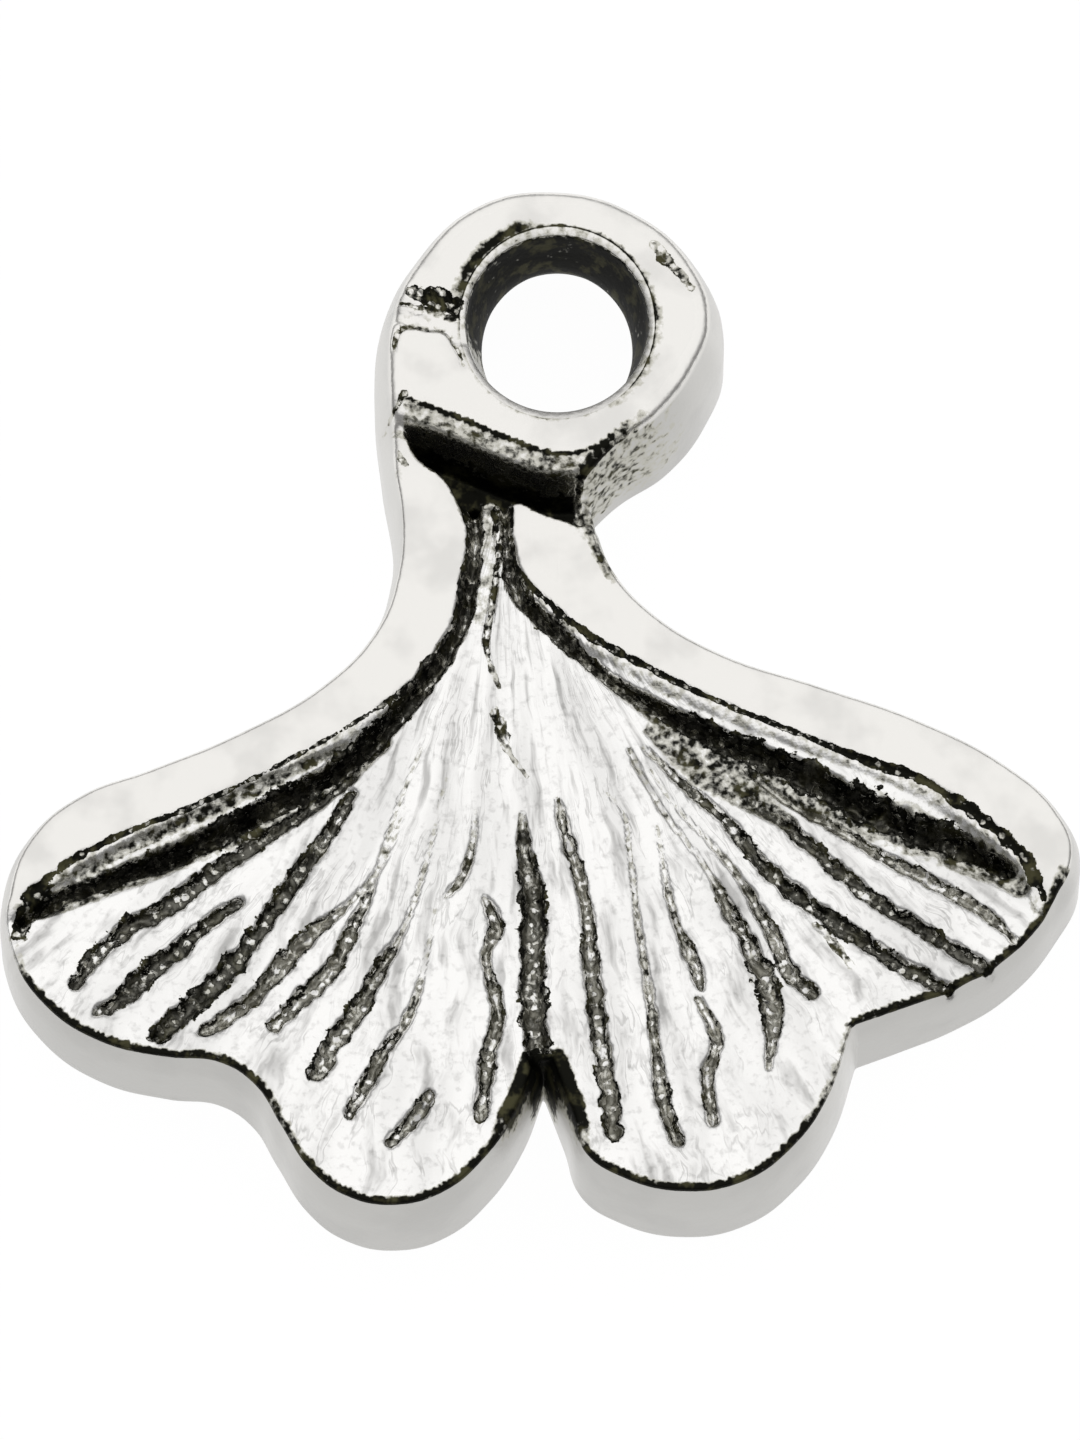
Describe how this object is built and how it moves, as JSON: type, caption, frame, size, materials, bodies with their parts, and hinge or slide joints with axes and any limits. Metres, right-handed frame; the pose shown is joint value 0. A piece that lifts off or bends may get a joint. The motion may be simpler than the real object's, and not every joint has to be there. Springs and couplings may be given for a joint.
{
  "type": "ginkgo leaf charm",
  "caption": "Small cast-metal pendant shaped as a fan leaf with raised rims, engraved veins and a curled stalk that forms a hanging eye.",
  "frame": {"origin": "middle of the bounding box in plan, on the flat back face", "axes": "+Z out of the leaf's front, through the casting's thickness; +Y from the lobes towards the hanging eye; +X to the right seen from the front"},
  "size_m": [0.015, 0.0154, 0.0022],
  "materials": {
    "antique_silver": "antique silver plate on a zinc casting alloy, polished on the high places and blackened in the recesses"
  },
  "bodies": {
    "root": {"ginkgo_leaf_charm": "antique_silver"}
  },
  "joints": []
}
